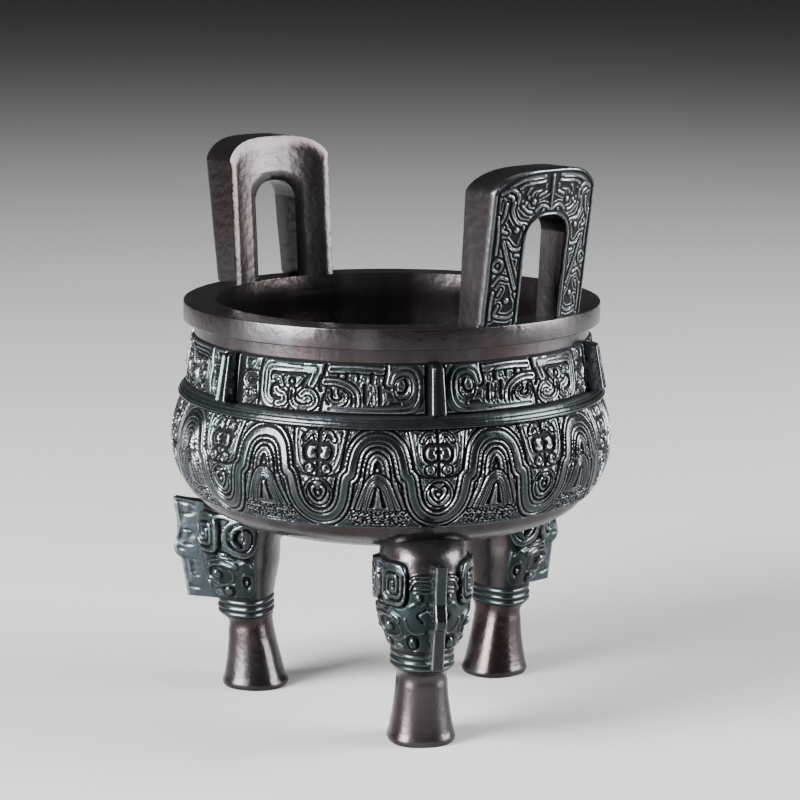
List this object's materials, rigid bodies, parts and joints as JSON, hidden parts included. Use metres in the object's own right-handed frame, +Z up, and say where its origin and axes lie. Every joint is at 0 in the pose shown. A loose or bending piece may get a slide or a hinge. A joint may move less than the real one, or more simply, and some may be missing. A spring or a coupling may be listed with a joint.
{
  "type": "tripod ding vessel",
  "caption": "Cast bronze ding: a round hollow bowl with a flat rim, two upright ears with arched openings, carved bands and mask legs.",
  "frame": {"origin": "middle of the base of the vessel's box, on the ground under the feet; the bowl's axis stands at x = 0, y = -2.35 mm", "axes": "+Z up; +X through one ear; +Y towards one of the three legs"},
  "size_m": [0.1362, 0.1368, 0.1672],
  "materials": {
    "cast_bronze": "dark brown-grey patinated bronze, satin and streaky on plain parts, blue-green black in the carved bands, worn bright on edges"
  },
  "bodies": {
    "root": {"ding_vessel": "cast_bronze"}
  },
  "joints": []
}
